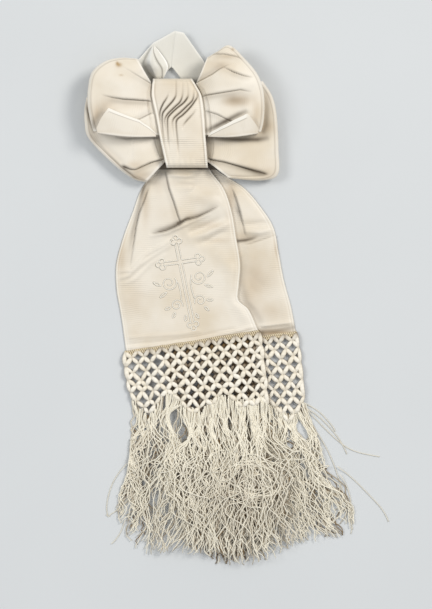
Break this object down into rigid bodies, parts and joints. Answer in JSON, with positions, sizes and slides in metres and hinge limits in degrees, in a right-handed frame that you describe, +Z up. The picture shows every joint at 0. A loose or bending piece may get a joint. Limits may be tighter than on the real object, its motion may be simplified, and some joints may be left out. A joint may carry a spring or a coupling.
{
  "type": "communion armband",
  "caption": "Cream silk ribbon armband: double bow under a pleated knot, two tails with knotted net and long fringe, and a ring of narrow ribbon for the arm.",
  "frame": {"origin": "underside of the arm band where it passes behind the knot, on the surface the armband lies on", "axes": "+Y towards the top of the bow, away from the fringe; +Z up from the surface; +X to the right seen from above"},
  "size_m": [0.2292, 0.4038, 0.0289],
  "materials": {
    "ribbon": "ribbed silk, soft sheen",
    "arm_ribbon": "plain satin ribbon, soft sheen",
    "thread": "twisted silk thread"
  },
  "bodies": {
    "root": {"knot": "ribbon", "lower_loop_left": "ribbon", "lower_loop_right": "ribbon", "upper_loop_left": "ribbon", "upper_loop_right": "ribbon", "tuck_left": "ribbon", "tuck_right": "ribbon", "arm_band": "arm_ribbon", "band_tongue": "arm_ribbon", "back_tail": "ribbon", "front_tail": "ribbon", "net_back": "thread", "net_front": "thread", "fringe_back": "thread", "fringe_front": "thread"}
  },
  "joints": []
}
